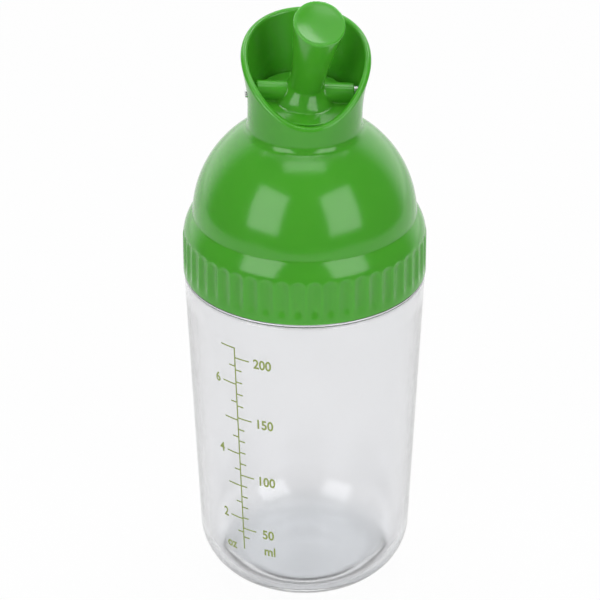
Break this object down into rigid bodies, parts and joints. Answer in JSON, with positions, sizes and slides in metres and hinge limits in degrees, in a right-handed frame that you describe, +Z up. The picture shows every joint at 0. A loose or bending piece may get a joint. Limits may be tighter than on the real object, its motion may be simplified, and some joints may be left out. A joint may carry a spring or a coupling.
{
  "type": "salad dressing shaker",
  "caption": "Clear graduated bottle with a fluted screw-on dome lid, a slanted pouring spout and a tilting lever valve in its throat.",
  "frame": {"origin": "the middle of the bottle's foot, on the table", "axes": "+Z up the bottle's axis, -Y towards the spout's lip, X along the lever's pin"},
  "size_m": [0.0678, 0.0678, 0.1796],
  "materials": {
    "clear_plastic": "clear, glossy, with a printed scale",
    "green_plastic": "glossy moulded, slightly translucent at thin edges",
    "silicone": "translucent white silicone",
    "steel": "bright drawn pin"
  },
  "bodies": {
    "bottle": {"bottle": "clear_plastic"},
    "gasket": {"lid_gasket": "silicone"},
    "lid": {"lid": "green_plastic", "pivot_pin": "steel"},
    "lever": {"lever": "green_plastic", "valve_seal": "silicone"}
  },
  "joints": [
    {"name": "lid_lift", "type": "slide", "parent": "bottle", "child": "gasket", "axis": [0, 0, 1], "range_m": [0, 0.0075]},
    {"name": "lid_turn", "type": "hinge", "parent": "gasket", "child": "lid", "pos_m": [0, 0, 0.1045], "axis": [0, 0, 1], "range_deg": [0, 450]},
    {"name": "lever_tilt", "type": "hinge", "parent": "lid", "child": "lever", "pos_m": [0, 0, 0.1513], "axis": [-1, 0, 0], "range_deg": [0, 40]}
  ],
  "couplings": [
    {"joint": "lid_lift", "follows": "lid_turn", "m_per_rad": 0.0009549}
  ]
}
